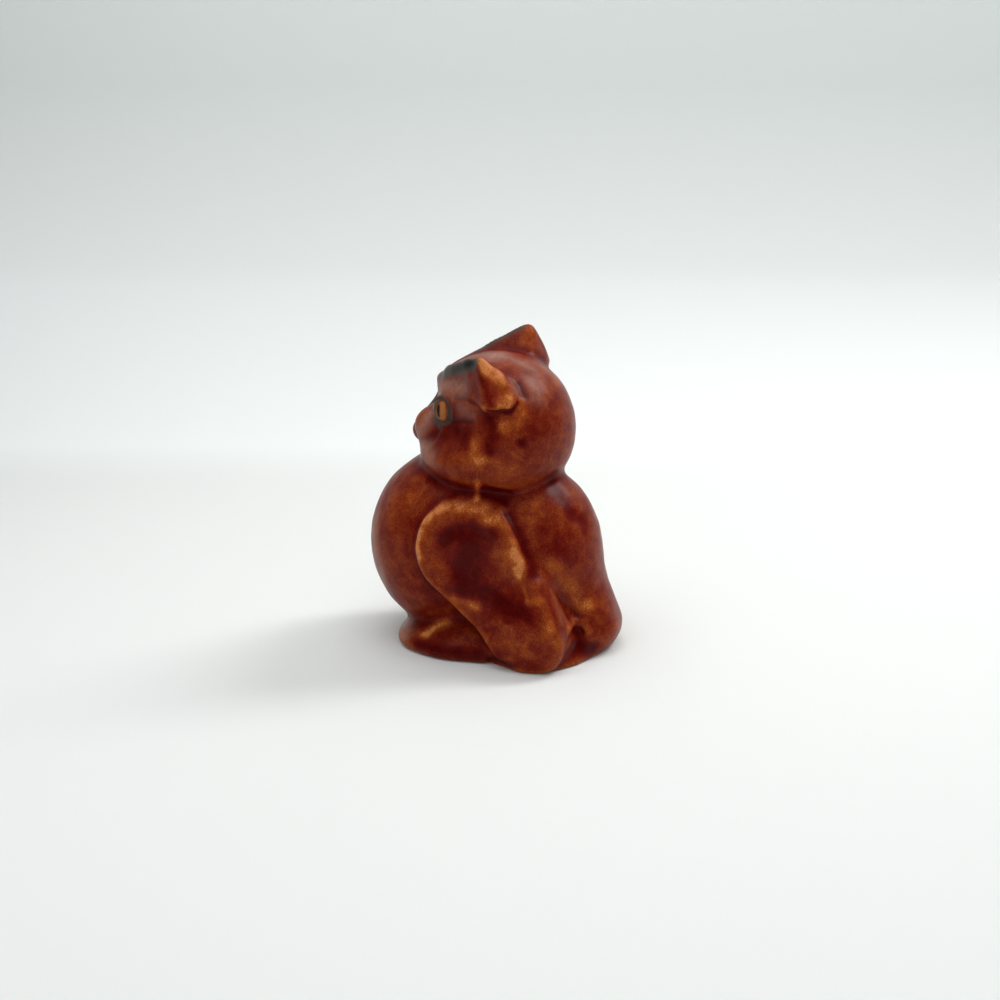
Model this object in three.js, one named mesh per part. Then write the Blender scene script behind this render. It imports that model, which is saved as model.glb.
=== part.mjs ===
// A small glazed ceramic owl figurine, sitting on its tail with folded wings and its feet tucked under a
// round belly. It was cast as one piece, so it is one solid.
//
// Frame: +Z up, the owl faces -Y and its left side is +X. The origin is the middle of its extents on the
// resting plane. Places and radii of the forms are in hundredths of the height to the upright head's ears,
// so the proportions follow HEIGHT. The owl is the same on both sides but for the turn and lean of its head.

import * as THREE from "three";

// Driving dimensions, in millimetres.
const HEIGHT = 64; // from the resting plane to the tip of the higher ear
const FACET = 1.65; // the width of a facet
const BODY_FACET = 2.2; // the height of a facet on the body
const HEAD_FACET = 1.3; // the height of a facet on the head, where the carving is finer

const hundredth = HEIGHT / 100;
const FINE_FROM = 52; // the height, in hundredths, above which the facets are the head's
const CLEARANCE = 8; // hundredths between the outermost forms and the edge of the grid that the skin is read on

// The trunk: a ball of a belly in front, shoulders, a back that narrows to the neck, and a rump.
const BELLY = { centre: [0, -18.2, 31.9], radii: [27.5, 29.2, 30.8] };
const SHOULDERS = { centre: [0, -8, 40], radii: [25.5, 21, 16.5] };
const BACK = { centre: [0, 4, 31], radii: [25.5, 25.6, 28.5] };
const RUMP = { centre: [0, 4, 3], radii: [28.5, 28.3, 14] };

// The tail runs down the back to the ground between the wing tips. Under each side of its end is a hollow,
// and a low heel of clay fills the corner between the tail and the wing tip.
const TAIL = { root: [0, 21.5, 28], tip: [0, 29.4, 6.9], rootRadius: 7, tipRadius: 7.4, width: 1.9 };
const HOLLOW = { centre: [20, 35, 3], radii: [9, 6, 4.5] };
const HEEL = { centre: [8, 12, 0], radii: [23, 19, 9] };
const FOOT = { centre: [9.5, -11.4, 2.2], radii: [20, 23.8, 7.6] };

// Each wing is a tapering pad, laid on the trunk from the shoulder down and back to the ground. Its rim
// stands proud and its middle is a shallow dish.
const WING = {
  shoulder: [0, -6.2, 36.9],
  tip: [0, 15.2, 8.8],
  shoulderRadius: 16.4,
  tipRadius: 10.8,
  rearPad: { centre: [17, 15, 10], radii: [13, 17, 18] },
  frontPad: { centre: [12, -9, 20], radii: [13.5, 18, 20] },
  edge: 3,
  lift: 3.4,
  rim: 3.5,
  dish: 1.8,
  dishSlope: 7,
  dishFoot: 16, // the height at which the dish begins
  dishRise: 20, // and how much higher it is full
  inner: 12, // how far the wing reaches in towards the spine
};

// The head is turned a little to the owl's right and leans to its left, about the neck.
const HEAD_TURN = 5.5; // degrees
const HEAD_LEAN = 8.7; // degrees
const NECK = [0, -4, 62];
const SKULL = { centre: [0, -4.2, 70.2], radii: [26.5, 24.6, 24.4] };
const MUZZLE = { centre: [6.5, -15, 66], radii: [12.5, 11.6, 10] };
const CHEEK = { centre: [5.2, -19, 71.2], radii: [8.2, 11.4, 8] };
const BEAK = { top: [0, -23, 79], tip: [0, -30.4, 67.5], topRadius: 2.2, tipRadius: 4 };
const EYE = { centre: [14.6, -16.8, 80.2], outward: [0.8, -0.6, 0], radius: 4.8, lift: 2 };
const SOCKET = { middle: [5, -35.6, 79], front: [22.9, -23.4, 79.1], back: [34.2, -1, 81], radius: 11.3 };

// The horn over each eye runs from the brow out and back to its tip, and stands off the side of the head.
const HORN = {
  brow: [0.5, -27.5, 86.5],
  tip: [20.6, 1.4, 103],
  side: [27, 5, 83.4],
  back: [15.5, 8.2, 83.6],
  crown: [4, 5.5, 85],
  rounding: 3.2,
};

// The widths of the fillets where one form meets the next.
const FILLET = {
  trunk: 6,
  tail: 4,
  hollow: 2,
  heel: 3,
  foot: 4,
  wingPad: 4,
  wing: 2,
  neck: 3.2,
  muzzle: 5,
  socket: 5,
  cheek: 3,
  horn: 2,
  beak: 1.5,
  eye: 0.8,
  base: 1.6,
};

function ellipsoid([x, y, z], { centre, radii: [a, b, c] }) {
  const u = (x - centre[0]) / a;
  const v = (y - centre[1]) / b;
  const w = (z - centre[2]) / c;
  const near = Math.sqrt(u * u + v * v + w * w);
  const slope = Math.sqrt((u / a) ** 2 + (v / b) ** 2 + (w / c) ** 2);
  return slope < 1e-9 ? -Math.min(a, b, c) : (near * (near - 1)) / slope;
}

// Two balls of different size with the cone between them.
function taper(p, from, to, fromRadius, toRadius) {
  const axis = [to[0] - from[0], to[1] - from[1], to[2] - from[2]];
  const away = [p[0] - from[0], p[1] - from[1], p[2] - from[2]];
  const length2 = axis[0] ** 2 + axis[1] ** 2 + axis[2] ** 2;
  const narrowing = fromRadius - toRadius;
  const cone2 = length2 - narrowing * narrowing;
  const along = away[0] * axis[0] + away[1] * axis[1] + away[2] * axis[2];
  const past = along - length2;
  const across2 =
    (away[0] * length2 - axis[0] * along) ** 2 +
    (away[1] * length2 - axis[1] * along) ** 2 +
    (away[2] * length2 - axis[2] * along) ** 2;
  const along2 = along * along * length2;
  const past2 = past * past * length2;
  const side = Math.sign(narrowing) * narrowing * narrowing * across2;
  if (Math.sign(past) * cone2 * past2 > side) return Math.sqrt(across2 + past2) / length2 - toRadius;
  if (Math.sign(along) * cone2 * along2 < side) return Math.sqrt(across2 + along2) / length2 - fromRadius;
  return (Math.sqrt((across2 * cone2) / length2) + along * narrowing) / length2 - fromRadius;
}

// The lesser of two distances, with a fillet of about that width between the two shapes.
function blend(a, b, width) {
  const h = Math.max(width - Math.abs(a - b), 0) / width;
  return Math.min(a, b) - (h * h * width) / 4;
}

function cut(a, b, width) {
  return -blend(-a, -b, width);
}

// How far a point lies outside the plane through a, b and c, which faces away from the fourth point.
function planeAway(p, a, b, c, fourth) {
  const ab = [b[0] - a[0], b[1] - a[1], b[2] - a[2]];
  const ac = [c[0] - a[0], c[1] - a[1], c[2] - a[2]];
  const n = [ab[1] * ac[2] - ab[2] * ac[1], ab[2] * ac[0] - ab[0] * ac[2], ab[0] * ac[1] - ab[1] * ac[0]];
  const height = (q) => n[0] * (q[0] - a[0]) + n[1] * (q[1] - a[1]) + n[2] * (q[2] - a[2]);
  return (height(p) * (height(fourth) > 0 ? -1 : 1)) / Math.hypot(...n);
}

function ease(t) {
  const s = Math.min(Math.max(t, 0), 1);
  return s * s * (3 - 2 * s);
}

function trunk(p) {
  let d = blend(ellipsoid(p, BELLY), ellipsoid(p, BACK), FILLET.trunk);
  d = blend(d, ellipsoid(p, SHOULDERS), FILLET.trunk);
  return blend(d, ellipsoid(p, RUMP), FILLET.trunk);
}

function tail([x, y, z]) {
  const { root, tip, rootRadius, tipRadius, width } = TAIL;
  return taper([x / width, y, z], root, tip, rootRadius, tipRadius);
}

function wing(p, body) {
  const { shoulder, tip, shoulderRadius, tipRadius, rearPad, frontPad, edge, lift, inner } = WING;
  const outline = taper([0, p[1], p[2]], shoulder, tip, shoulderRadius, tipRadius);
  const deep = ease((-outline - WING.rim) / WING.dishSlope) * ease((p[2] - WING.dishFoot) / WING.dishRise);
  let face = blend(body, ellipsoid(p, rearPad), FILLET.wingPad);
  face = blend(face, ellipsoid(p, frontPad), FILLET.wingPad) - lift + WING.dish * deep;
  return cut(cut(face, outline, edge), inner - p[0], edge);
}

function horn(p) {
  const { brow, tip, side, back, crown, rounding } = HORN;
  const frontFace = planeAway(p, brow, tip, side, back);
  const backFace = cut(planeAway(p, tip, side, back, brow), planeAway(p, tip, back, crown, brow), rounding);
  const underside = planeAway(p, brow, side, back, tip);
  const innerFace = planeAway(p, brow, tip, crown, side);
  return cut(cut(frontFace, backFace, rounding), cut(underside, innerFace, rounding), rounding);
}

function head(p) {
  let d = ellipsoid(p, SKULL);
  d = blend(d, ellipsoid(p, MUZZLE), FILLET.muzzle);
  const bridge = taper(p, SOCKET.middle, SOCKET.front, SOCKET.radius, SOCKET.radius);
  const temple = taper(p, SOCKET.front, SOCKET.back, SOCKET.radius, SOCKET.radius);
  d = cut(d, -Math.min(bridge, temple), FILLET.socket);
  d = blend(d, ellipsoid(p, CHEEK), FILLET.cheek);
  d = blend(d, horn(p), FILLET.horn);
  d = blend(d, taper(p, BEAK.top, BEAK.tip, BEAK.topRadius, BEAK.tipRadius), FILLET.beak);
  const { centre, outward, radius, lift } = EYE;
  const eyeball = centre.map((v, n) => v - (radius - lift) * outward[n]);
  return blend(d, Math.hypot(...p.map((v, n) => v - eyeball[n])) - radius, FILLET.eye);
}

const turnSin = Math.sin(THREE.MathUtils.degToRad(HEAD_TURN));
const turnCos = Math.cos(THREE.MathUtils.degToRad(HEAD_TURN));
const leanSin = Math.sin(THREE.MathUtils.degToRad(HEAD_LEAN));
const leanCos = Math.cos(THREE.MathUtils.degToRad(HEAD_LEAN));

// The same point seen from the head, as if the head looked straight ahead.
function inHead([x, y, z]) {
  const [dx, dy, dz] = [x - NECK[0], y - NECK[1], z - NECK[2]];
  const across = turnCos * dx - turnSin * dy;
  const along = turnSin * dx + turnCos * dy;
  return [NECK[0] + leanCos * across - leanSin * dz, NECK[1] + along, NECK[2] + leanSin * across + leanCos * dz];
}

const mirrored = ([x, y, z]) => [Math.abs(x), y, z];

// Distance from a point to the owl's skin, below zero inside.
function owl(point) {
  const p = mirrored(point);
  const body = trunk(p);
  let d = blend(body, tail(p), FILLET.tail);
  d = cut(d, -ellipsoid(p, HOLLOW), FILLET.hollow);
  d = blend(d, ellipsoid(p, HEEL), FILLET.heel);
  d = blend(d, ellipsoid(p, FOOT), FILLET.foot);
  d = blend(d, wing(p, body), FILLET.wing);
  d = blend(d, head(mirrored(inHead(point))), FILLET.neck);
  return cut(d, -point[2], FILLET.base);
}

// Moves a point straight down or up the slope of the distance until it lies on the skin.
function ontoSkin([x, y, z], steps) {
  const h = 0.01;
  for (let i = 0; i < steps; i++) {
    const d = owl([x, y, z]);
    const gx = (owl([x + h, y, z]) - d) / h;
    const gy = (owl([x, y + h, z]) - d) / h;
    const gz = (owl([x, y, z + h]) - d) / h;
    const reach = d / Math.max(gx * gx + gy * gy + gz * gz, 0.2);
    x -= reach * gx;
    y -= reach * gy;
    z -= reach * gz;
  }
  return [x, y, z];
}

// Grid lines from low to high, spaced as spacing says for each place.
function gridLines(low, high, spacing) {
  const lines = [low];
  while (lines.at(-1) < high) lines.push(lines.at(-1) + spacing(lines.at(-1)));
  return lines;
}

// A cell's corner c lies at x = c & 1, y = (c >> 1) & 1 and z = c >> 2. Its edge 3 * c + axis runs from
// corner c along that axis.
const CELL_EDGES = [0, 1, 2, 3, 4, 5, 6, 7].flatMap((c) => [0, 1, 2].filter((n) => !((c >> n) & 1)).map((n) => 3 * c + n));
const CELL_FACES = [[0, 2, 6, 4], [1, 3, 7, 5], [0, 1, 5, 4], [2, 3, 7, 6], [0, 1, 3, 2], [4, 5, 7, 6]];

const edgeBetween = (a, b) => 3 * Math.min(a, b) + Math.log2(Math.abs(a - b));

// Gathers the crossed edges of one cell into the patches of skin that pass through it.
function patchesOf(values, crossed) {
  const patch = new Map(crossed.map((edge) => [edge, edge]));
  const join = (a, b) => {
    const [from, to] = [patch.get(a), patch.get(b)];
    for (const edge of crossed) if (patch.get(edge) === from) patch.set(edge, to);
  };
  for (const ring of CELL_FACES) {
    const sides = ring.map((c, i) => edgeBetween(c, ring[(i + 1) % 4]));
    const cut = sides.filter((edge) => patch.has(edge));
    if (cut.length === 2) join(...cut);
    if (cut.length === 4) ring.forEach((c, i) => values[c] < 0 && join(sides[(i + 3) % 4], sides[i]));
  }
  return patch;
}

// The skin as quads: one point in each grid cell for each patch of skin that passes through it, and one quad
// for each grid edge that crosses the skin.
function skin() {
  const width = FACET / hundredth;
  const body = BODY_FACET / hundredth;
  const face = HEAD_FACET / hundredth;
  const side = Math.max(HORN.side[0], RUMP.radii[0] + WING.lift) + CLEARANCE;
  const front = BELLY.centre[1] - BELLY.radii[1] - CLEARANCE;
  const rear = TAIL.tip[1] + TAIL.tipRadius + CLEARANCE;
  const xs = gridLines(-side, side, () => width);
  const ys = gridLines(front, rear, () => width);
  const zs = gridLines(-1.5 * body, HORN.tip[2] + CLEARANCE, (z) => (z < FINE_FROM ? body : face));
  const size = [xs.length, ys.length, zs.length];
  const at = (i, j, k) => (k * size[1] + j) * size[0] + i;
  const values = new Float64Array(size[0] * size[1] * size[2]);
  for (let k = 0; k < size[2]; k++)
    for (let j = 0; j < size[1]; j++)
      for (let i = 0; i < size[0]; i++) values[at(i, j, k)] = owl([xs[i], ys[j], zs[k]]);

  const pointOf = new Map();
  const points = [];
  const corners = [0, 1, 2, 3, 4, 5, 6, 7];
  for (let k = 0; k + 1 < size[2]; k++)
    for (let j = 0; j + 1 < size[1]; j++)
      for (let i = 0; i + 1 < size[0]; i++) {
        const place = (c) => [xs[i + (c & 1)], ys[j + ((c >> 1) & 1)], zs[k + (c >> 2)]];
        const v = corners.map((c) => values[at(i + (c & 1), j + ((c >> 1) & 1), k + (c >> 2))]);
        const ends = (edge) => [Math.floor(edge / 3), Math.floor(edge / 3) | (1 << edge % 3)];
        const crossed = CELL_EDGES.filter((edge) => {
          const [a, b] = ends(edge);
          return v[a] < 0 !== v[b] < 0;
        });
        if (!crossed.length) continue;
        const patch = patchesOf(v, crossed);
        for (const label of new Set(patch.values())) {
          const own = crossed.filter((edge) => patch.get(edge) === label);
          const sum = [0, 0, 0];
          for (const edge of own) {
            const [a, b] = ends(edge);
            const [from, to] = [place(a), place(b)];
            const t = v[a] / (v[a] - v[b]);
            from.forEach((w, n) => (sum[n] += w + t * (to[n] - w)));
            pointOf.set(24 * at(i, j, k) + edge, points.length);
          }
          points.push(sum.map((w) => w / own.length));
        }
      }

  const quads = [];
  const step = [[1, 0, 0], [0, 1, 0], [0, 0, 1]];
  for (let k = 1; k + 1 < size[2]; k++)
    for (let j = 1; j + 1 < size[1]; j++)
      for (let i = 1; i + 1 < size[0]; i++)
        step.forEach(([a, b, c], axis) => {
          const inside = values[at(i, j, k)] < 0;
          if (inside === values[at(i + a, j + b, k + c)] < 0) return;
          const [u, w] = [(axis + 1) % 3, (axis + 2) % 3];
          const point = (m, n) => {
            const cell = at(...[i, j, k].map((v, q) => v - m * step[u][q] - n * step[w][q]));
            return pointOf.get(24 * cell + 3 * ((m << u) | (n << w)) + axis);
          };
          const quad = [point(1, 1), point(0, 1), point(0, 0), point(1, 0)];
          quads.push(inside ? quad : quad.reverse());
        });
  return { points, quads };
}

// Evens out the facets and lays every point back on the skin.
function relax({ points, quads }, rounds) {
  let places = points.map((p) => ontoSkin(p, 3));
  for (let round = 0; round < rounds; round++) {
    const sums = places.map(() => [0, 0, 0, 0]);
    for (const q of quads)
      q.forEach((a, i) => {
        const b = q[(i + 1) % 4];
        places[b].forEach((v, n) => (sums[a][n] += v));
        sums[a][3] += 1;
        places[a].forEach((v, n) => (sums[b][n] += v));
        sums[b][3] += 1;
      });
    places = places.map((p, i) => ontoSkin(p.map((v, n) => (v + sums[i][n] / sums[i][3]) / 2), 2));
  }
  return { points: places, quads };
}

// Splits each quad on the diagonal that lies nearer the skin, so that ridges and creases run unbroken, but
// never on a line that is an edge already.
function split({ points, quads }) {
  const strays = (a, b) => Math.abs(owl(points[a].map((v, n) => (v + points[b][n]) / 2)));
  const line = (a, b) => Math.min(a, b) * points.length + Math.max(a, b);
  const used = new Set(quads.flatMap((q) => q.map((a, i) => line(a, q[(i + 1) % 4]))));
  return quads.flatMap(([a, b, c, d]) => {
    const first = used.has(line(b, d)) || (!used.has(line(a, c)) && strays(a, c) < strays(b, d));
    used.add(first ? line(a, c) : line(b, d));
    return first ? [a, b, c, a, c, d] : [a, b, d, b, c, d];
  });
}

function geometryOf({ points, quads }) {
  const ends = (n) => [Math.min(...points.map((p) => p[n])), Math.max(...points.map((p) => p[n]))];
  const [low, high] = [0, 1, 2].map(ends).reduce(([a, b], [c, d]) => [[...a, c], [...b, d]], [[], []]);
  const unit = HEIGHT / high[2];
  const places = points.flatMap(([x, y, z]) => [
    unit * (x - (low[0] + high[0]) / 2),
    unit * (y - (low[1] + high[1]) / 2),
    z < 0.02 ? 0 : unit * z,
  ]);
  const geometry = new THREE.BufferGeometry();
  geometry.setAttribute("position", new THREE.Float32BufferAttribute(places, 3));
  geometry.setIndex(split({ points, quads }));
  geometry.computeVertexNormals();
  return geometry;
}

const glaze = new THREE.MeshStandardMaterial({ color: 0x7a3414, roughness: 0.25, metalness: 0 });
const owlMesh = new THREE.Mesh(geometryOf(relax(skin(), 5)), glaze);
owlMesh.name = "ceramic_owl";

const figurine = new THREE.Group();
figurine.add(owlMesh);

export default figurine;
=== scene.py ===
# Ceramic owl figurine: amber and maroon glaze over a one-piece cast body.
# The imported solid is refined, carved and glazed here. Metres, +Z up, the owl faces -Y.
import math
import bpy
import bmesh
import numpy as np
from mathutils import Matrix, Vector


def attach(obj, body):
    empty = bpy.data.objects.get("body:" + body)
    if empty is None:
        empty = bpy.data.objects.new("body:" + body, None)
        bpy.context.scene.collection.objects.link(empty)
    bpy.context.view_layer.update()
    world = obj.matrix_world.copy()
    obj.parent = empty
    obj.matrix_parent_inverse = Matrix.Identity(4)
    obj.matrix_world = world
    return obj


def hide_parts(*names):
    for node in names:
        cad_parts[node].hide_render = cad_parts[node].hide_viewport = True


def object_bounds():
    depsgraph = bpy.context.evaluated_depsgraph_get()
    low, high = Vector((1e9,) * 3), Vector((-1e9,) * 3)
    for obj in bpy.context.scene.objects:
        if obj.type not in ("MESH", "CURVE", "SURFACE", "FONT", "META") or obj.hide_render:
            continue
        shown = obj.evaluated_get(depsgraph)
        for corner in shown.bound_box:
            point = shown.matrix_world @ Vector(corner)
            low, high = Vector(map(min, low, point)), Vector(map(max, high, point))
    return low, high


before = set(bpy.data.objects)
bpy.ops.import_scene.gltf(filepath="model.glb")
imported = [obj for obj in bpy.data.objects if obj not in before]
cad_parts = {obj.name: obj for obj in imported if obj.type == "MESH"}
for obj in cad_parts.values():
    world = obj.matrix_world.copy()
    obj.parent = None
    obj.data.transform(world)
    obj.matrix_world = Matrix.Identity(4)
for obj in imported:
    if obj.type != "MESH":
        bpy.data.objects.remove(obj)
solidBox = [list(corner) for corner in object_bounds()]

# Shapes are set out in hundredths of the figurine's height, from the middle of the belly and neck.
owlLength = 84.2
originShift = np.array([0, 5.3, 0])
hundredth = (solidBox[1][1] - solidBox[0][1]) / owlLength
print("owl box loaded, one hundredth is", round(hundredth * 1000, 4), "mm")


def toOwl(places):
    return places / hundredth - originShift


def fromOwl(places):
    return (places + originShift) * hundredth


cameraSettings = {
    "azimuth": 108,
    "elevation": 15,
    "distance": 480,
    "target": (0, -4, 46),
    "focalPixels": 1480,
    "imagePixels": 1000,
    "sensor": 36,
    "nearest": 0.01,
    "farthest": 20,
}


def outwards(azimuth, elevation):
    turn, rise = math.radians(azimuth), math.radians(elevation)
    return Vector((math.sin(turn) * math.cos(rise), -math.cos(turn) * math.cos(rise), math.sin(rise)))


def placeCamera(s):
    back = outwards(s["azimuth"], s["elevation"])
    lens = bpy.data.cameras.new("photoCamera")
    lens.sensor_width = s["sensor"]
    lens.lens = s["sensor"] * s["focalPixels"] / s["imagePixels"]
    lens.clip_start = s["nearest"]
    lens.clip_end = s["farthest"]
    camera = bpy.data.objects.new("photoCamera", lens)
    bpy.context.collection.objects.link(camera)
    target = Vector(fromOwl(np.array(s["target"])))
    camera.location = target + back * s["distance"] * hundredth
    camera.rotation_mode = "QUATERNION"
    camera.rotation_quaternion = back.to_track_quat("Z", "Y")
    bpy.context.scene.camera = camera
    return back


towardsCamera = placeCamera(cameraSettings)
print("camera placed")


def ellipsoid(p, form):
    centre, radii = np.array(form[0]), np.array(form[1])
    q = (p - centre) / radii
    near = np.linalg.norm(q, axis=1)
    slope = np.linalg.norm(q / radii, axis=1)
    return near * (near - 1) / np.maximum(slope, 1e-9)


def taper(p, form):
    # two balls of different size with the cone between them
    start, end = np.array(form[0], float), np.array(form[1], float)
    startRadius, endRadius = form[2:]
    axis, away = end - start, p - start
    length2 = axis @ axis
    narrowing = startRadius - endRadius
    cone2 = length2 - narrowing ** 2
    along = away @ axis
    past = along - length2
    across2 = ((away * length2 - np.outer(along, axis)) ** 2).sum(1)
    along2, past2 = along ** 2 * length2, past ** 2 * length2
    side = np.sign(narrowing) * narrowing ** 2 * across2
    d = (np.sqrt(across2 * cone2 / length2) + along * narrowing) / length2 - startRadius
    d = np.where(np.sign(along) * cone2 * along2 < side, np.sqrt(across2 + along2) / length2 - startRadius, d)
    return np.where(np.sign(past) * cone2 * past2 > side, np.sqrt(across2 + past2) / length2 - endRadius, d)


def blend(a, b, width):
    h = np.maximum(width - np.abs(a - b), 0) / width
    return np.minimum(a, b) - h * h * width / 4


def cut(a, b, width):
    return -blend(-a, -b, width)


def planeAway(p, a, b, c, fourth):
    a, b, c, fourth = (np.array(q, float) for q in (a, b, c, fourth))
    n = np.cross(b - a, c - a)
    n = n / np.linalg.norm(n) * (-1 if n @ (fourth - a) > 0 else 1)
    return (p - a) @ n


def ease(t):
    s = np.clip(t, 0, 1)
    return s * s * (3 - 2 * s)


def mirrored(p):
    return np.column_stack([np.abs(p[:, 0]), p[:, 1:]])


def lineDistance(p, path):
    # distance from each point to the nearest place on a line through the path's points
    points = np.array(path, float)
    best = np.linalg.norm(p - points[0], axis=1)
    for a, b in zip(points, points[1:]):
        t = np.clip((p - a) @ (b - a) / max((b - a) @ (b - a), 1e-9), 0, 1)
        best = np.minimum(best, np.linalg.norm(p - a - t[:, None] * (b - a), axis=1))
    return best


def softNear(p, path, width, power=2):
    # 1 on the line, fading to nothing within about two widths
    points, reach = np.array(path), 3 * width  # beyond this the mark has faded out
    near = ((p > points.min(0) - reach) & (p < points.max(0) + reach)).all(1)
    strength = np.zeros(len(p))
    strength[near] = np.exp(-(lineDistance(p[near], path) / width) ** power)
    return strength


def ripples(p, size, seed, waves=14, peak=1.4):
    # a smooth uneven pattern between about -1 and 1, with swellings of about that size
    random = np.random.default_rng(seed)
    total = np.zeros(len(p))
    for _ in range(waves):
        direction = random.normal(size=3)
        direction *= math.pi / size * random.uniform(0.6, 1.4) / np.linalg.norm(direction)
        total += np.sin(p @ direction + random.uniform(0, 2 * math.pi))
    return total / math.sqrt(waves) / peak


# The owl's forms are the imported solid's, with crisper edges.
forms = {
    "belly": ((0, -18.2, 31.9), (27.5, 29.2, 30.8)),
    "shoulders": ((0, -8, 40), (25.5, 21, 16.5)),
    "back": ((0, 4, 31), (25.5, 25.6, 28.5)),
    "rump": ((0, 4, 3), (28.5, 28.3, 14)),
    "tail": ((0, 21.5, 28), (0, 29.4, 6.9), 7, 7.4),
    "tailWidth": 1.9,
    "hollow": ((20, 35, 3), (9, 6, 4.5)),
    "heel": ((8, 12, 0), (23, 19, 9)),
    "foot": ((9.5, -11.4, 2.2), (20, 23.8, 7.6)),
    "wing": ((0, -6.2, 36.9), (0, 15.2, 8.8), 16.4, 10.8),
    "wingRearPad": ((17, 15, 10), (13, 17, 18)),
    "wingFrontPad": ((12, -9, 20), (13.5, 18, 20)),
    "wingLift": 3.4,
    "wingEdge": 2.4,
    "wingDish": 1.8,
    "dishEdge": (3.5, 7),
    "dishRise": (16, 20),
    "wingInner": 12,
    "neck": (0, -4, 62),
    "headTurn": 5.5,
    "headLean": 8.7,
    "skull": ((0, -4.2, 70.2), (26.5, 24.6, 24.4)),
    "muzzle": ((6.5, -15, 66), (12.5, 11.6, 10)),
    "cheek": ((5.2, -19, 71.2), (8.2, 11.4, 8)),
    "beak": ((0, -23, 79), (0, -30.4, 67.5), 2.2, 4),
    "eyeball": (12.36, -15.12, 80.2),
    "eyeRadius": 4.8,
    "gaze": (0.95, -0.29, 0.12),
    "socket": ((5, -35.6, 79), (22.9, -23.4, 79.1), (34.2, -1, 81)),
    "socketRadius": 11.3,
    "brow": (0.5, -27.5, 86.5),
    "earTip": (20.6, 1.4, 103),
    "earSide": (27, 5, 83.4),
    "earBack": (15.5, 8.2, 83.6),
    "crown": (4, 5.5, 85),
    "earRounding": 3,
}
# How widely each form runs into the clay that it sits on.
seams = {"trunk": 6, "wingPad": 4, "wing": 2, "tail": 4, "hollow": 2, "heel": 3, "foot": 4, "muzzle": 5,
         "socket": 5, "cheek": 3, "ear": 2, "beak": 1.5, "eye": 0.8, "neck": 3.4, "ground": 1.6}


def trunk(p, f):
    d = ellipsoid(p, f["belly"])
    for name in ("back", "shoulders", "rump"):
        d = blend(d, ellipsoid(p, f[name]), seams["trunk"])
    return d


def wingOutline(p, f):
    return taper(p * np.array([0, 1, 1]), f["wing"])


def wing(p, body, f):
    outline = wingOutline(p, f)
    edge, rise = f["dishEdge"], f["dishRise"]
    dish = f["wingDish"] * ease((-outline - edge[0]) / edge[1]) * ease((p[:, 2] - rise[0]) / rise[1])
    face = body
    for pad in ("wingRearPad", "wingFrontPad"):
        face = blend(face, ellipsoid(p, f[pad]), seams["wingPad"])
    face = face - f["wingLift"] + dish
    return cut(cut(face, outline, f["wingEdge"]), f["wingInner"] - p[:, 0], f["wingEdge"])


def ear(p, f):
    brow, tip, side, back, crown = (f[k] for k in ("brow", "earTip", "earSide", "earBack", "crown"))
    r = f["earRounding"]
    front = planeAway(p, brow, tip, side, back)
    rear = cut(planeAway(p, tip, side, back, brow), planeAway(p, tip, back, crown, brow), r)
    underside = planeAway(p, brow, side, back, tip)
    inner = planeAway(p, brow, tip, crown, side)
    return cut(cut(front, rear, r), cut(underside, inner, r), r)


def head(p, f):
    d = blend(ellipsoid(p, f["skull"]), ellipsoid(p, f["muzzle"]), seams["muzzle"])
    middle, front, back = f["socket"]
    r = f["socketRadius"]
    socket = np.minimum(taper(p, (middle, front, r, r)), taper(p, (front, back, r, r)))
    d = cut(d, -socket, seams["socket"])
    d = blend(d, ellipsoid(p, f["cheek"]), seams["cheek"])
    d = blend(d, ear(p, f), seams["ear"])
    d = blend(d, taper(p, f["beak"]), seams["beak"])
    eyeball = np.linalg.norm(p - np.array(f["eyeball"]), axis=1) - f["eyeRadius"]
    return blend(d, eyeball, seams["eye"])


def inHead(p, f):
    # the same point seen from the head, as if the head looked straight ahead
    turn, lean, neck = math.radians(f["headTurn"]), math.radians(f["headLean"]), np.array(f["neck"])
    d = p - neck
    across = math.cos(turn) * d[:, 0] - math.sin(turn) * d[:, 1]
    along = math.sin(turn) * d[:, 0] + math.cos(turn) * d[:, 1]
    upright = math.cos(lean) * across - math.sin(lean) * d[:, 2]
    tilted = math.sin(lean) * across + math.cos(lean) * d[:, 2]
    return neck + np.column_stack([upright, along, tilted])


def bareClay(point, f=forms):
    # distance from each point to the owl's skin before anything is cut into it, below zero inside
    p = mirrored(point)
    body = trunk(p, f)
    d = blend(body, taper(p / np.array([f["tailWidth"], 1, 1]), f["tail"]), seams["tail"])
    d = cut(d, -ellipsoid(p, f["hollow"]), seams["hollow"])
    d = blend(d, ellipsoid(p, f["heel"]), seams["heel"])
    d = blend(d, ellipsoid(p, f["foot"]), seams["foot"])
    d = blend(d, wing(p, body, f), seams["wing"])
    return blend(d, head(mirrored(inHead(point, f)), f), seams["neck"])


def standing(d, point):
    # the clay is cut flat where the owl stands
    return cut(d, -point[:, 2], seams["ground"])


castSettings = {"start": 80, "stride": 0.7, "strides": 120}


def castOnClay(pixels, s, back):
    # where the camera's rays through these pixels of the photograph meet the bare clay
    right = np.cross((0, 0, 1), back)
    right /= np.linalg.norm(right)
    up = np.cross(back, right)
    eye = np.array(s["target"]) + s["distance"] * back
    across, down = (np.array(pixels, float) - s["imagePixels"] / 2).T
    rays = np.outer(across, right) - np.outer(down, up) - s["focalPixels"] * back
    rays /= np.linalg.norm(rays, axis=1)[:, None]
    reach = np.full((len(rays), 1), float(s["distance"] - castSettings["start"]))
    for _ in range(castSettings["strides"]):
        spots = eye + rays * reach
        reach += castSettings["stride"] * standing(bareClay(spots), spots)[:, None]
    return eye + rays * reach


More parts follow.
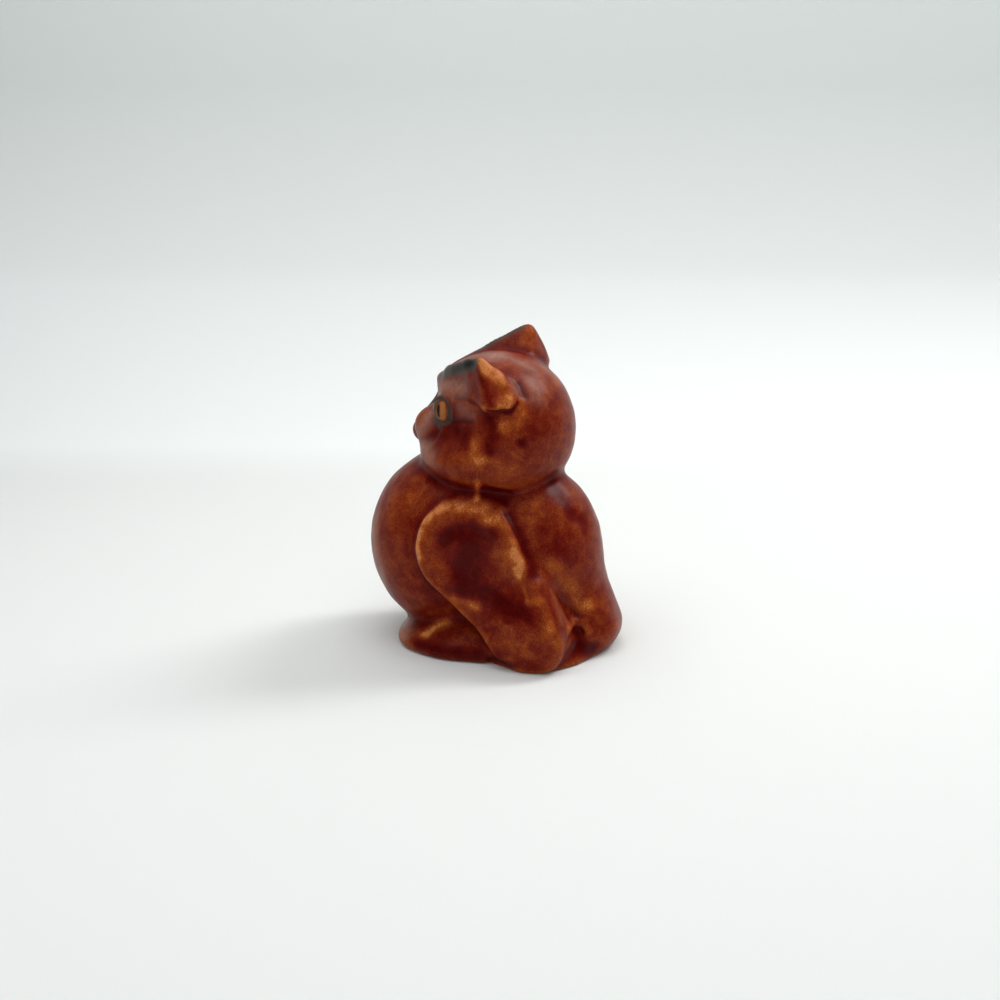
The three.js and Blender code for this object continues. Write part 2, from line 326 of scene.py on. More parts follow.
def placeMarks(marks, onHead):
    # marks given in pixels get their path on the clay
    seen = [mark for mark in marks.values() if "pixels" in mark]
    pixels = [pixel for mark in seen for pixel in mark["pixels"]]
    spots = castOnClay(pixels, cameraSettings, np.array(towardsCamera))
    spots = inHead(spots, forms) if onHead else spots
    for mark in seen:
        count = len(mark["pixels"])
        mark["path"], spots = spots[:count], spots[count:]


# Lines cut into the clay where the depth is above 0 and raised on it where it is below. Pixels are the
# photograph's, and a path is set out in hundredths. The right side mirrors the left.
bodyCarving = {
    "rearGroove": {"pixels": [(509, 516), (521, 541), (529, 562), (532, 574)], "width": 2, "depth": 0.5},
    "grooveFill": {"pixels": [(534, 588), (536, 600)], "width": 2.4, "depth": -1},
    "rearRidge": {"pixels": [(540, 575), (545, 590), (552, 606), (558, 622)], "width": 1.7, "depth": -0.6},
    "cornerFill": {"pixels": [(545, 584), (554, 604), (563, 622)], "width": 3.4, "depth": -1.5},
    "tailCurl": {"pixels": [(566, 630), (573, 622), (583, 623), (588, 631)], "width": 1.3, "depth": -0.9},
    "curlFold": {"pixels": [(573, 631), (581, 632)], "width": 1.3, "depth": 0.7},
    "backGroove": {"pixels": [(552, 482), (560, 497), (570, 511), (583, 523)], "width": 3.2, "depth": 0.35},
    "neckPocket": {"pixels": [(486, 490), (496, 492), (506, 494)], "width": 1.8, "depth": 0.8},
    "neckDrip": {"pixels": [(477, 482), (479, 491), (477, 500)], "width": 1.3, "depth": -0.6},
    "footCrease": {"pixels": [(412, 612), (425, 610), (440, 610)], "width": 1.2, "depth": 0.15},
    "wingTipGap": {"path": [(26, 1, 1.5), (33, 9.5, 1.2)], "width": 1.9, "depth": 1.9},
}
headCarving = {
    "earUndercut": {"pixels": [(486, 412), (497, 411.5), (510, 411),
                               (516, 403)], "width": 0.9, "depth": 0.7},
    "browCrease": {"pixels": [(456, 397), (466, 398), (476, 404), (482, 411)], "width": 0.8, "depth": 0.3},
    "socketCrease": {"pixels": [(451, 420), (473, 421)], "width": 0.8, "depth": 0.3},
    "socketEdge": {"pixels": [(453, 402), (453, 417)], "width": 0.7, "depth": -0.2},
    "earStep": {"pixels": [(519, 386), (524, 396)], "width": 1.6, "depth": 0.4},
    "eyeHollow": {"path": [(11.5, -21.8, 78.5), (11.8, -21.5, 76),
                           (13.2, -19.5, 74.4)], "width": 0.9, "depth": 0.3},
}
leftHeadCarving = {
    "browPad": {"pixels": [(449, 372), (457, 369.5), (466, 366.5)], "width": 2.8, "depth": -1},
    "earLobe": {"pixels": [(500, 379), (507, 390), (509, 399)], "width": 3, "depth": -1.7},
    "earLobeFoot": {"pixels": [(497, 405), (508, 405)], "width": 1.8, "depth": -0.6},
}
for lines, onHead in ((bodyCarving, False), (headCarving, True), (leftHeadCarving, True)):
    placeMarks(lines, onHead)
eyeCarving = {
    "rim": 4.3, "rimWidth": 0.5, "rimHeight": 0.35,
    "groove": 3.7, "grooveWidth": 0.35, "grooveDepth": 0.25,
    "pupil": (0.62, 2.1), "pupilDepth": 0.2,
    "iris": (1.8, 3.2), "irisShift": -0.95,
    "depthLimit": 1.5,
}
unevenness = {"swells": (9, 0.16, 3), "dimples": (3.2, 0.06, 4)}  # size, height and seed


def eyeReach(h, f):
    # how far the point is across and up from the eye's middle, and whether it is on the eye's ball
    gaze = np.array(f["gaze"]) / np.linalg.norm(f["gaze"])
    side = np.cross(gaze, (0, 0, 1)) / np.linalg.norm(gaze[:2])
    d = h - np.array(f["eyeball"])
    return d @ side, d @ np.cross(side, gaze), d @ gaze > eyeCarving["depthLimit"]


def carving(point, f):
    p, headPlace = mirrored(point), inHead(point, f)
    h = mirrored(headPlace)
    d = np.zeros(len(p))
    for place, lines in ((p, bodyCarving), (h, headCarving), (headPlace, leftHeadCarving)):
        for line in lines.values():
            d += line["depth"] * softNear(place, line["path"], line["width"])
    e = eyeCarving
    across, up, onBall = eyeReach(h, f)
    away = np.hypot(across, up)
    ring = -e["rimHeight"] * np.exp(-((away - e["rim"]) / e["rimWidth"]) ** 2)
    ring += e["grooveDepth"] * np.exp(-((away - e["groove"]) / e["grooveWidth"]) ** 2)
    ring += e["pupilDepth"] * np.exp(-(across / e["pupil"][0]) ** 2 - (up / e["pupil"][1]) ** 2)
    return d + np.where(onBall, ring, 0)


def clay(point, f=forms):
    # the skin as it was finished by hand
    d = bareClay(point, f) + carving(point, f)
    for size, height, seed in unevenness.values():
        d = d + height * ripples(point, size, seed)
    return standing(d, point)


bodySettings = {"voxel": 0.59, "laps": 4, "stepLimit": 0.8, "probe": 0.02, "flattest": 0.2, "grounded": 0.03}


def slopeAt(points, reach):
    here = clay(points)
    steps = [clay(points + reach * axis) for axis in np.eye(3)]
    return here, np.stack([(s - here) / reach for s in steps], axis=1)


def ontoClay(points, s, rounds):
    for _ in range(rounds):
        here, slope = slopeAt(points, s["probe"])
        move = -(here / np.maximum((slope ** 2).sum(1), s["flattest"]))[:, None] * slope
        long = np.linalg.norm(move, axis=1, keepdims=True)
        points = points + move * np.minimum(1, s["stepLimit"] / np.maximum(long, 1e-9))
    return points


def refinedBody(s):
    clayBody = bmesh.new()
    clayBody.from_mesh(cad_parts["ceramic_owl"].data)
    bmesh.ops.remove_doubles(clayBody, verts=clayBody.verts, dist=hundredth * 1e-3)
    rough = bpy.data.meshes.new("owlRough")
    clayBody.to_mesh(rough)
    clayBody.free()
    form = bpy.data.objects.new("owlRough", rough)
    bpy.context.collection.objects.link(form)
    remesh = form.modifiers.new("evenClay", "REMESH")
    remesh.mode = "VOXEL"
    remesh.voxel_size = s["voxel"] * hundredth * 1
    even = bpy.data.meshes.new_from_object(form.evaluated_get(bpy.context.evaluated_depsgraph_get()))
    bpy.data.objects.remove(form)
    even.name = "owlBody"
    return even


def carvedPoints(mesh, s):
    count = len(mesh.vertices)
    flat = np.empty(count * 3)
    mesh.vertices.foreach_get("co", flat)
    edges = np.empty(len(mesh.edges) * 2, dtype=np.int64)
    mesh.edges.foreach_get("vertices", edges)
    a, b = edges.reshape(-1, 2).T
    ends, others = np.concatenate([a, b]), np.concatenate([b, a])
    neighbours = np.bincount(ends, minlength=count)[:, None]
    points = ontoClay(toOwl(flat.reshape(-1, 3)), s, 2)
    for _ in range(s["laps"]):
        sums = [np.bincount(ends, weights=points[others, axis], minlength=count) for axis in range(3)]
        sums = np.stack(sums, axis=1)
        points = ontoClay((points + sums / neighbours) / 2, s, 1)
    points = ontoClay(points, s, 2)
    points[:, 2] = np.where(points[:, 2] < s["grounded"], 0, points[:, 2])
    return points


# Where the glaze ran thin and is gold, where it pooled and is maroon, and where it is smoky and where sooty.
# Some marks are painted light: painted shadow under overhangs, in creases, in the neck pocket and by the
# floor, painted grey shade by the eye, a painted highlight on the crown, painted sheen on the beak's rim, and
# a pale painted sheen on rims, brow and crown.
thinBody = {
    "wingRimFront": {"pixels": [(419, 556), (418, 543), (421, 530)], "width": 1.5, "amount": 1},
    "wingRimTop": {"pixels": [(424, 521), (432, 513), (445, 508), (462, 507), (480, 511),
                              (494, 520)], "width": 2, "amount": 0.85},
    "wingRimRear": {"pixels": [(494, 520), (503, 530), (510, 543)], "width": 1.6, "amount": 0.45},
    "rearStreak": {"pixels": [(512, 552), (519, 562), (518, 576)], "width": 1.9, "amount": 1},
    "streakLow": {"pixels": [(518, 576), (522, 590), (527, 602)], "width": 0.9, "amount": 0.7},
    "streakGlow": {"pixels": [(497, 556), (506, 572), (508, 590)], "width": 2.6, "amount": 0.5},
    "wingPatch": {"pixels": [(456, 597), (468, 602), (478, 606)], "width": 1.7, "amount": 1.3},
    "wingRed": {"pixels": [(436, 560), (450, 578)], "width": 2.6, "amount": 0.3},
    "wingTipGold": {"pixels": [(549, 626), (549, 640)], "width": 2, "amount": 0.55},
    "wingLowGlow": {"pixels": [(500, 632), (520, 646)], "width": 3, "amount": 0.3},
    "tailPatch": {"pixels": [(550, 566), (562, 578), (570, 590), (578, 605),
                             (590, 606)], "width": 3.2, "amount": 0.75},
    "tailPatchSide": {"pixels": [(549, 576), (560, 592), (572, 606)], "width": 3.2, "amount": 0.6},
    "drip": {"pixels": [(477, 482), (479, 491), (477, 500)], "width": 1.3, "amount": 0.8},
    "footPatch": {"pixels": [(425, 634), (436, 627), (448, 620)], "width": 1.9, "amount": 1.6},
    "footToe": {"pixels": [(406, 622), (404, 632)], "width": 2.2, "amount": 0.5},
    "nape": {"pixels": [(526, 492), (533, 505), (538, 520)], "width": 5, "amount": 0.35},
    "bellyUp": {"pixels": [(392, 505), (405, 500), (418, 497)], "width": 5, "amount": 0.3},
    "bellyRim": {"pixels": [(377, 520), (376, 545), (382, 568)], "width": 3, "amount": 0.35},
}
pooledAndShadedBody = {
    "poolTop": {"pixels": [(446, 538), (458, 530), (474, 528), (490, 535)], "width": 2.3, "amount": 1.2},
    "poolMiddle": {"pixels": [(468, 542), (470, 560), (466, 578), (466, 590)], "width": 4, "amount": 1.3},
    "poolLow": {"pixels": [(484, 592), (500, 602), (515, 611), (526, 617)], "width": 2.6, "amount": 1.1},
    "poolTail": {"pixels": [(508, 622), (520, 627)], "width": 1.6, "amount": 0.5},
    "rearGroove": {"pixels": [(509, 516), (521, 541), (531, 566), (533, 582),
                              (536, 594)], "width": 1.7, "amount": 0.45},
    "pit": {"pixels": [(533, 583), (535, 590)], "width": 1.1, "amount": 0.45},
    "backGroove": {"pixels": [(552, 482), (560, 497), (570, 511),
                              (585, 523)], "width": 2.6, "amount": 0.45},
    "backRed": {"pixels": [(546, 532), (556, 548), (566, 556)], "width": 3.6, "amount": 0.35},
    # painted shade: neckPocket and neckPocketLow darken the recess between the neck and the wing's shoulder
    "neckPocket": {"pixels": [(486, 490), (496, 492), (506, 494)], "width": 2.2, "amount": 0.95},
    "neckPocketLow": {"pixels": [(496, 499), (505, 503)], "width": 1.6, "amount": 0.6},
    "neckFront": {"pixels": [(432, 474), (444, 479), (456, 483), (465, 488)], "width": 2, "amount": 0.8},
    "wingFrontShade": {"pixels": [(436, 600), (430, 590), (424, 578)], "width": 3.4, "amount": 0.35},
    # painted shadow: tailUnder darkens the recess under the tail, and tipGap darkens the gap by the floor
    # between the foot and the wing tip
    "tailUnder": {"pixels": [(575, 647), (590, 651)], "width": 2.4, "amount": 0.9},
    "tipGap": {"pixels": [(497, 657), (506, 664)], "width": 1.9, "amount": 1.3},
    "footLow": {"pixels": [(418, 645), (434, 650), (450, 653), (480, 657)], "width": 2.6, "amount": 1.25},
    "wingTipLow": {"pixels": [(520, 664), (540, 670)], "width": 2.2, "amount": 0.4},
}
thinAndHighlitHead = {
    "earSeat": {"pixels": [(521, 401), (522, 412), (515, 422), (503, 425)], "width": 2, "amount": 0.75},
    "cheekPatch": {"pixels": [(473, 442), (474, 456), (482, 462)], "width": 1.9, "amount": 0.85},
    "jawGlow": {"pixels": [(490, 468), (510, 470)], "width": 3.4, "amount": 0.4},
    # painted highlight: this mark lightens the head's soft orange highlight behind the ear
    "crownHighlight": {"pixels": [(535, 386), (543, 392)], "width": 3, "amount": 0.3},
}
leftThinHead = {
    "earBand": {"pixels": [(484, 364), (492, 373), (499, 384), (503, 395),
                           (502, 404)], "width": 3.1, "amount": 0.95, "power": 4},
}
pooledAndShadedHead = {
    "cheekSpot": {"pixels": [(489, 446), (490, 452)], "width": 1.7, "amount": 1},
    "templePool": {"pixels": [(490, 416), (493, 428), (492, 440)], "width": 1.8, "amount": 0.75},
    "napeSpot": {"pixels": [(522, 443)], "width": 1.4, "amount": 1},
    "headRed": {"pixels": [(535, 418), (545, 430), (538, 440)], "width": 4, "amount": 0.2},
    "beak": {"path": [(0, -24, 79), (0, -31, 74), (0, -34.2, 67.5)], "width": 3.2, "amount": 0.8},
    "cheekDark": {"pixels": [(452, 430), (462, 436)], "width": 2.6, "amount": 0.4},
    # painted shadow: undercut darkens the line under the ear's overhang, and browCrease darkens the shadow
    # line along the brow crease
    "undercut": {"pixels": [(486, 412), (497, 411), (510, 411), (516, 403)], "width": 0.9, "amount": 1},
    "browCrease": {"pixels": [(456, 397), (466, 398), (476, 404), (482, 411)], "width": 0.8, "amount": 0.6},
    "socketLow": {"pixels": [(451, 420), (473, 421)], "width": 0.9, "amount": 0.5},
    "earFront": {"pixels": [(477, 368), (482, 380), (486, 392), (489, 404)], "width": 1.3, "amount": 0.85},
    # painted shadow: earStep darkens the step down behind the ear
    "earStep": {"pixels": [(519, 384), (523, 391), (525, 396)], "width": 1.6, "amount": 0.55},
    "beakLine": {"path": [(3.2, -25.5, 78.5), (3.8, -29.3, 73.5),
                          (4.4, -31, 69.5)], "width": 1, "amount": 1},
    "cheekFront": {"pixels": [(432, 434), (446, 436)], "width": 2, "amount": 0.35},
}
smokeShadeAndSheenHead = {
    "browTop": {"pixels": [(443, 374.5), (453, 370), (463, 366.5),
                           (474, 362)], "width": 2.5, "amount": 1, "power": 4},
    # painted light: eyeSide is painted shade, grey in the socket at the eye's lower left, and beakRim is
    # painted sheen, grey along the beak's rim
    "eyeSide": {"pixels": [(434, 412), (435, 420), (441, 424)], "width": 1.3, "amount": 0.75},
    "beakRim": {"path": [(2.5, -30.5, 75), (2.5, -33.6, 69),
                         (2, -33.6, 66.5)], "width": 1.6, "amount": 0.65},
}
sootHead = {
    "browTop": {"pixels": [(457, 369.5), (465, 366.5), (473, 362.5)], "width": 1.7, "amount": 1},
}
# Painted sheen: a pale veil on rims, crown, brow, muzzle and beak stands in for the glaze's reflection of its
# pale surroundings.
paintedSheenBody = {
    "footToe": {"pixels": [(406, 622), (404, 634)], "width": 3, "amount": 0.8},
    "bellySide": {"pixels": [(376, 520), (374, 545), (380, 570)], "width": 3.5, "amount": 0.35},
    "tailSide": {"pixels": [(614, 600), (619, 625)], "width": 3, "amount": 0.3},
}
paintedSheenHead = {
    "browSide": {"pixels": [(441, 388), (452, 386), (464, 388)], "width": 3.4, "amount": 0.75},
    "crown": {"pixels": [(495, 355), (512, 355), (530, 364)], "width": 4.8, "amount": 0.85},
    "headSide": {"pixels": [(530, 384), (536, 396)], "width": 3.4, "amount": 0.35},
    "muzzle": {"pixels": [(422, 444), (430, 458)], "width": 2.8, "amount": 0.7},
    "socketPad": {"pixels": [(460, 407), (470, 414)], "width": 2.2, "amount": 0.3},
    "beak": {"pixels": [(430, 414), (424, 424), (420, 432)], "width": 2.6, "amount": 0.75},
    "earEdge": {"pixels": [(510, 380), (515, 392)], "width": 1.4, "amount": 0.3},
}
for marks in (thinBody, pooledAndShadedBody, paintedSheenBody):
    placeMarks(marks, False)
for marks in (thinAndHighlitHead, leftThinHead, pooledAndShadedHead, smokeShadeAndSheenHead, sootHead, paintedSheenHead):
    placeMarks(marks, True)
print("glaze marks placed")


def spread(places, marks):
    total = np.zeros(len(places))
    for mark in marks.values():
        near = softNear(places, mark["path"], mark["width"], mark.get("power", 2))
        total = np.maximum(total, mark["amount"] * near)
    return total


def swelling(points, normals, reach, steps=6):
    # above zero on ridges and below zero in hollows, read from the clay around each point
    side = np.cross(normals, np.where(np.abs(normals[:, 2:]) < 0.8, [[0, 0, 1]], [[1, 0, 0]]))
    side /= np.linalg.norm(side, axis=1)[:, None]
    other = np.cross(normals, side)
    total = np.zeros(len(points))
    for step in range(steps):
        angle = 2 * math.pi * step / steps
        total += clay(points + reach * (math.cos(angle) * side + math.sin(angle) * other))
    return total / steps / reach


# The glaze is usually this deep. It is thinner in gold marks and on ridges, and deeper in pools. The same
# depth also carries painted shadow as deeper glaze and a painted highlight as thinner glaze.
glazeFlow = {
    "usualDepth": 0.52, "thinner": 0.42, "deeper": 0.5,
    "ridges": ((1.4, 2.2), (3.5, 1.1)),  # how far round a point is felt, and its weight
    "ridgeStart": 0.18, "ridgeThins": 0.5, "ridgeLimits": (-0.6, 0.5),
    "wander": ((5, 0.9, 21), (11, 0.6, 22)),  # size, height and seed
    "bodyBend": 0.45, "headBend": 0.25,
    "headStart": 58, "headFade": 4,
    "probe": 0.05,
}
eyePaint = {"irisEdge": 0.14, "pupilEdge": (1.25, 0.4), "rimStart": (0.9, 0.2), "rimEnd": (5, 0.6),
            "lowest": 70}


def eyeMarks(h, s):
    across, up, onBall = eyeReach(h, forms)
    onBall = onBall & (h[:, 2] > s["lowest"])
    away = np.hypot(across, up)
    slit = np.hypot(across / eyeCarving["pupil"][0], up / eyeCarving["pupil"][1])
    iris = np.hypot((across - eyeCarving["irisShift"]) / eyeCarving["iris"][0], up / eyeCarving["iris"][1])
    rim = ease((iris - s["rimStart"][0]) / s["rimStart"][1]) * ease((s["rimEnd"][0] - away) / s["rimEnd"][1])
    return {
        "iris": np.where(onBall, ease((1 - iris) / s["irisEdge"]), 0),
        "pupil": np.where(onBall, ease((s["pupilEdge"][0] - slit) / s["pupilEdge"][1]), 0),
        "eyeRim": np.where(onBall, rim, 0),
    }


def glazeMarks(points, s):
    p, headPlace = mirrored(points), inHead(points, forms)
    h = mirrored(headPlace)
    slope = slopeAt(points, s["probe"])[1]
    normals = slope / np.maximum(np.linalg.norm(slope, axis=1)[:, None], 1e-6)
    ridge = sum(weight * swelling(points, normals, reach) for reach, weight in s["ridges"])
    wander = sum(height * ripples(points, size, seed) for size, height, seed in s["wander"])[:, None]
    onHead = ease((h[:, 2] - s["headStart"]) / s["headFade"])
    bentP, bentH = p + wander * s["bodyBend"], h + wander * s["headBend"]
    bentLeft = headPlace + wander * s["headBend"]
    thinAndHighlitOnHead = np.maximum(spread(bentH, thinAndHighlitHead), spread(bentLeft, leftThinHead))
    thinAndHighlit = spread(bentP, thinBody) * (1 - onHead) + thinAndHighlitOnHead * onHead
    pooledAndShaded = spread(bentP, pooledAndShadedBody) * (1 - onHead) + spread(bentH, pooledAndShadedHead) * onHead
    # the pooled marks include painted shadow and the thin marks a painted highlight, so this depth carries
    # painted light as well as the glaze
    depth = s["usualDepth"] - s["thinner"] * thinAndHighlit + s["deeper"] * pooledAndShaded
    depth -= s["ridgeThins"] * np.clip(ridge - s["ridgeStart"], *s["ridgeLimits"])
    marks = {
        "glazeDepthShadeAndHighlight": np.clip(depth, 0, 1),
        "smokeShadeAndSheen": np.clip(spread(bentH, smokeShadeAndSheenHead), 0, 1),
        "soot": spread(bentH, sootHead),
        "paintedSheen": np.maximum(spread(bentP, paintedSheenBody) * (1 - onHead), spread(bentH, paintedSheenHead) * onHead),
    }
    marks.update(eyeMarks(h, eyePaint))
    return marks


def makeOwl(s):
    mesh = refinedBody(s)
    print("even clay:", len(mesh.vertices), "points")
    points = carvedPoints(mesh, s)
    mesh.vertices.foreach_set("co", fromOwl(points).ravel())
    for name, values in glazeMarks(points, glazeFlow).items():
        attribute = mesh.attributes.new(name, "FLOAT", "POINT")
        attribute.data.foreach_set("value", values.astype(np.float32))
    mesh.polygons.foreach_set("use_smooth", np.ones(len(mesh.polygons), dtype=bool))
    mesh.update()
    owl = bpy.data.objects.new("glazedOwl", mesh)
    bpy.context.collection.objects.link(owl)
    print("owl carved:", len(mesh.polygons), "faces")
    return owl


owl = makeOwl(bodySettings)
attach(owl, "root")
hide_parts("ceramic_owl")


glazeSettings = {
    "ramp": [(0.0, (0.58, 0.20, 0.06)), (0.22, (0.33, 0.066, 0.009)), (0.45, (0.21, 0.029, 0.006)),
             (0.68, (0.13, 0.006, 0.002)), (1.0, (0.065, 0.0006, 0.0004))],
    "smokeShadeAndSheen": (0.07, 0.082, 0.074),
    "soot": (0.012, 0.013, 0.011),
    "paintedSheen": (0.34, 0.18, 0.135),
    "iris": (0.36, 0.13, 0.035),
    "pupil": (0.012, 0.008, 0.007),
    "eyeRim": (0.05, 0.045, 0.035),
    "smokeShadeAndSheenCover": 0.92,
    "eyeRimCover": 0.8,
    "sheenPatches": (1.1, 0.8),
    "perMetre": 1000,  # the patterns below are sized per millimetre
    "blotchScale": 0.42,
    "blotch": 0.38,
    "grainScale": 3.4,
    "grain": 0.4,
    "roughness": 0.32,
    "roughnessPatches": (1.6, 0.16),
    "dimples": {"scale": 3.2, "strength": 0.12, "depth": 0.0001},
    "coatRoughness": 0.36,
    "coatIor": 1.32,
    "coat": 0.22,
    "specular": 0.03,
}


def amberGlaze(s):
    glaze = bpy.data.materials.new("amberGlaze")
    glaze.use_nodes = True
    nodes, links = glaze.node_tree.nodes, glaze.node_tree.links
    shader = nodes["Principled BSDF"]

    def link(source, target):
        links.new(source, target)

    def attribute(name):
        node = nodes.new("ShaderNodeAttribute")
        node.attribute_name = name
        return node.outputs["Fac"]

    def mathNode(operation, a, b, clamp=False):
        node = nodes.new("ShaderNodeMath")
        node.operation = operation
        node.use_clamp = clamp
        for socket, value in zip(node.inputs, (a, b)):
            if isinstance(value, (int, float)):
                socket.default_value = value
            else:
                link(value, socket)
        return node.outputs[0]

    def mixed(amount, a, b):
        node = nodes.new("ShaderNodeMix")
        node.data_type = "RGBA"
        link(amount, node.inputs["Factor"])
        for socket, value in ((node.inputs["A"], a), (node.inputs["B"], b)):
            if isinstance(value, tuple):
                socket.default_value = (*value, 1)
            else:
                link(value, socket)
        return node.outputs["Result"]

    place = nodes.new("ShaderNodeTexCoord")
    scale = nodes.new("ShaderNodeMapping")
    scale.inputs["Scale"].default_value = [s["perMetre"]] * 3
    link(place.outputs["Object"], scale.inputs["Vector"])

    def noise(size, detail, roughness=0.55, distortion=0.0):
        node = nodes.new("ShaderNodeTexNoise")
        node.inputs["Scale"].default_value = size
        node.inputs["Detail"].default_value = detail
        node.inputs["Roughness"].default_value = roughness
        node.inputs["Distortion"].default_value = distortion
        link(scale.outputs["Vector"], node.inputs["Vector"])
        return mathNode("SUBTRACT", node.outputs["Fac"], 0.5)

    blotch = mathNode("MULTIPLY", noise(s["blotchScale"], 4, 0.6, 0.4), s["blotch"] * 2)
    grain = mathNode("MULTIPLY", noise(s["grainScale"], 3, 0.7), s["grain"] * 2)
    depth = mathNode("ADD", mathNode("ADD", attribute("glazeDepthShadeAndHighlight"), blotch), grain, clamp=True)
    ramp = nodes.new("ShaderNodeValToRGB")
    stops = ramp.color_ramp.elements
    stops[0].position, stops[1].position = s["ramp"][0][0], s["ramp"][-1][0]
    stops[0].color, stops[1].color = (*s["ramp"][0][1], 1), (*s["ramp"][-1][1], 1)
    for position, colour in s["ramp"][1:-1]:
        stops.new(position).color = (*colour, 1)
    link(depth, ramp.inputs["Fac"])
    # painted sheen: the pale veil is mixed over the glaze colour in patches
    patchSize, patchLevel = s["sheenPatches"]
    patches = mathNode("ADD", noise(patchSize, 3), patchLevel)
    sheenCover = mathNode("MULTIPLY", attribute("paintedSheen"), patches, True)
    sheened = mixed(sheenCover, ramp.outputs["Color"], s["paintedSheen"])
    # the grey on the brow is the glaze's own, while by the eye it is painted shade and on the beak's rim
    # painted sheen
    withSmokeShadeAndSheen = mixed(mathNode("MULTIPLY", attribute("smokeShadeAndSheen"), s["smokeShadeAndSheenCover"]), sheened, s["smokeShadeAndSheen"])
    sooty = mixed(attribute("soot"), withSmokeShadeAndSheen, s["soot"])
    rimmed = mixed(mathNode("MULTIPLY", attribute("eyeRim"), s["eyeRimCover"]), sooty, s["eyeRim"])
    irised = mixed(attribute("iris"), rimmed, s["iris"])
    link(mixed(attribute("pupil"), irised, s["pupil"]), shader.inputs["Base Color"])
    patchSize, patchLevel = s["roughnessPatches"]
    patches = mathNode("MULTIPLY", noise(patchSize, 2), patchLevel)
    link(mathNode("ADD", patches, s["roughness"]), shader.inputs["Roughness"])
    shader.inputs["Specular IOR Level"].default_value = s["specular"]
    shader.inputs["Coat Weight"].default_value = s["coat"]
    shader.inputs["Coat Roughness"].default_value = s["coatRoughness"]
    shader.inputs["Coat IOR"].default_value = s["coatIor"]
    bump = nodes.new("ShaderNodeBump")
    bump.inputs["Strength"].default_value = s["dimples"]["strength"]
    bump.inputs["Distance"].default_value = s["dimples"]["depth"]
    link(noise(s["dimples"]["scale"], 3, 0.6), bump.inputs["Height"])
    link(bump.outputs["Normal"], shader.inputs["Normal"])
    return glaze


owl.data.materials.clear()
owl.data.materials.append(amberGlaze(glazeSettings))
print("glaze done")


stageSettings = {
    "front": -520, "back": 200, "width": 900, "curve": 90, "wall": 700, "segments": 24,
    "tones": [(0, (0.79, 0.80, 0.78)), (0.05, (0.88, 0.90, 0.88)), (0.45, (0.93, 0.95, 0.94)),
              (1, (0.71, 0.75, 0.73))],
    "toneHeight": 180, "roughness": 0.9, "specular": 0.1,
}


def palePaperWithPaintedShade(s):
    # a little darker at the foot of the curve and towards the top, as the photograph's is
    # painted shade: the paper is painted darker towards the top of the wall and at the foot of the curve,
    # standing in for light falling off there
    paper = bpy.data.materials.new("palePaperWithPaintedShade")
    paper.use_nodes = True
    shader = paper.node_tree.nodes["Principled BSDF"]
    nodes, links = paper.node_tree.nodes, paper.node_tree.links
    place, height = nodes.new("ShaderNodeTexCoord"), nodes.new("ShaderNodeSeparateXYZ")
    links.new(place.outputs["Object"], height.inputs[0])
    rise = nodes.new("ShaderNodeMapRange")
    rise.inputs["From Max"].default_value = s["toneHeight"] * hundredth
    links.new(height.outputs["Z"], rise.inputs["Value"])
    tone = nodes.new("ShaderNodeValToRGB")
    stops = tone.color_ramp.elements
    stops[0].color, stops[1].color = (*s["tones"][0][1], 1), (*s["tones"][-1][1], 1)
    for position, colour in s["tones"][1:-1]:
        stops.new(position).color = (*colour, 1)
    links.new(rise.outputs["Result"], tone.inputs["Fac"])
    links.new(tone.outputs["Color"], shader.inputs["Base Color"])
    shader.inputs["Roughness"].default_value = s["roughness"]
    shader.inputs["Specular IOR Level"].default_value = s["specular"]
    return paper


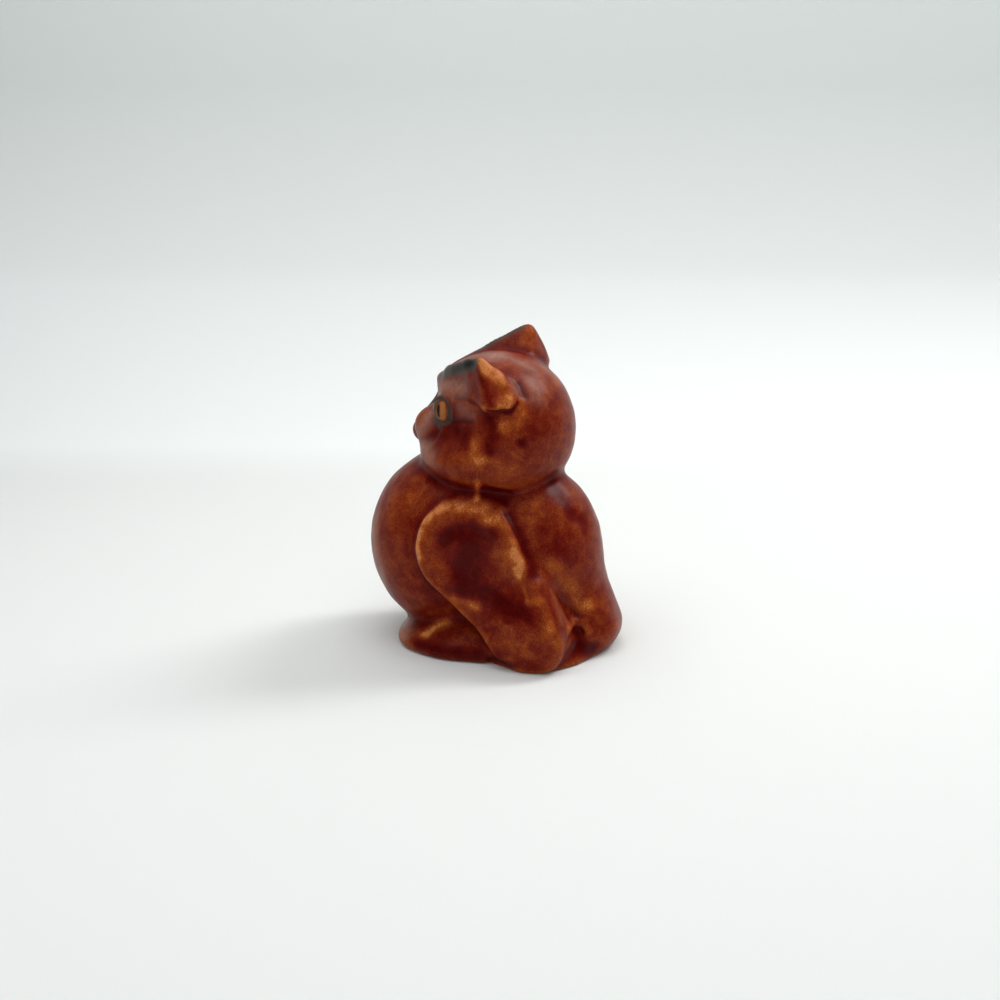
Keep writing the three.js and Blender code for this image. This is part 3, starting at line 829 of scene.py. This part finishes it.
def makeSweep(s, back):
    # a sheet of paper that lies under the owl and curves up behind it, square to the camera
    away = Vector((-back.x, -back.y, 0)).normalized()
    side = Vector((-away.y, away.x, 0))

    def at(distance, across, height):
        return (away * distance + side * across + Vector((0, 0, height))) * hundredth

    sheet = bmesh.new()
    ends = [sheet.verts.new(at(s["front"], across, 0)) for across in (-s["width"], s["width"])]
    edge = sheet.edges.new(ends)
    grown = bmesh.ops.extrude_edge_only(sheet, edges=[edge])["geom"]
    bmesh.ops.translate(sheet, vec=away * (s["back"] - s["front"]) * hundredth,
                        verts=[g for g in grown if isinstance(g, bmesh.types.BMVert)])
    last = [g for g in grown if isinstance(g, bmesh.types.BMEdge)]
    turned = bmesh.ops.spin(sheet, geom=last, cent=at(s["back"], 0, s["curve"]), axis=side,
                            angle=-math.pi / 2, steps=s["segments"], use_duplicate=False)["geom_last"]
    top = [g for g in turned if isinstance(g, bmesh.types.BMEdge)]
    raised = bmesh.ops.extrude_edge_only(sheet, edges=top)["geom"]
    bmesh.ops.translate(sheet, vec=Vector((0, 0, s["wall"] * hundredth)),
                        verts=[g for g in raised if isinstance(g, bmesh.types.BMVert)])
    bmesh.ops.recalc_face_normals(sheet, faces=sheet.faces)
    mesh = bpy.data.meshes.new("paperSweep")
    sheet.to_mesh(mesh)
    sheet.free()
    mesh.polygons.foreach_set("use_smooth", np.ones(len(mesh.polygons), dtype=bool))
    mesh.materials.append(palePaperWithPaintedShade(s))
    sweep = bpy.data.objects.new("paperSweep", mesh)
    bpy.context.collection.objects.link(sweep)
    return sweep


makeSweep(stageSettings, towardsCamera)
print("paper laid")

lightSettings = {
    # azimuth, elevation, distance, size in hundredths, power in watts, and whether it shows in the gloss
    "window": {"place": (230, 47, 760), "size": 340, "power": 1.95, "gloss": True},
    "overhead": {"place": (20, 84, 460), "size": 420, "power": 0.44, "gloss": True},
    "front": {"place": (60, 35, 520), "size": 420, "power": 0.1, "gloss": False},
    "side": {"place": (120, 34, 520), "size": 400, "power": 0.13, "gloss": False},
}
lightTarget = 30
roomSettings = {"colour": (0.93, 0.96, 1, 1), "strength": 0.34}


def placeLights(lights):
    for name, s in lights.items():
        back = outwards(*s["place"][:2])
        lamp = bpy.data.lights.new(name, "AREA")
        lamp.shape = "SQUARE"
        lamp.size = s["size"] * hundredth
        lamp.energy = s["power"]
        light = bpy.data.objects.new(name, lamp)
        bpy.context.collection.objects.link(light)
        light.location = (Vector((0, 0, lightTarget)) + back * s["place"][2]) * hundredth
        light.rotation_mode = "QUATERNION"
        light.rotation_quaternion = back.to_track_quat("Z", "Y")
        light.visible_glossy = s["gloss"]
        light.visible_camera = False


placeLights(lightSettings)
room = bpy.data.worlds.new("studioRoom")
bpy.context.scene.world = room
room.use_nodes = True
room.node_tree.nodes["Background"].inputs["Color"].default_value = roomSettings["colour"]
room.node_tree.nodes["Background"].inputs["Strength"].default_value = roomSettings["strength"]
room.cycles_visibility.glossy = False
bpy.context.scene.view_settings.view_transform = "Standard"
print("stage and lights placed")
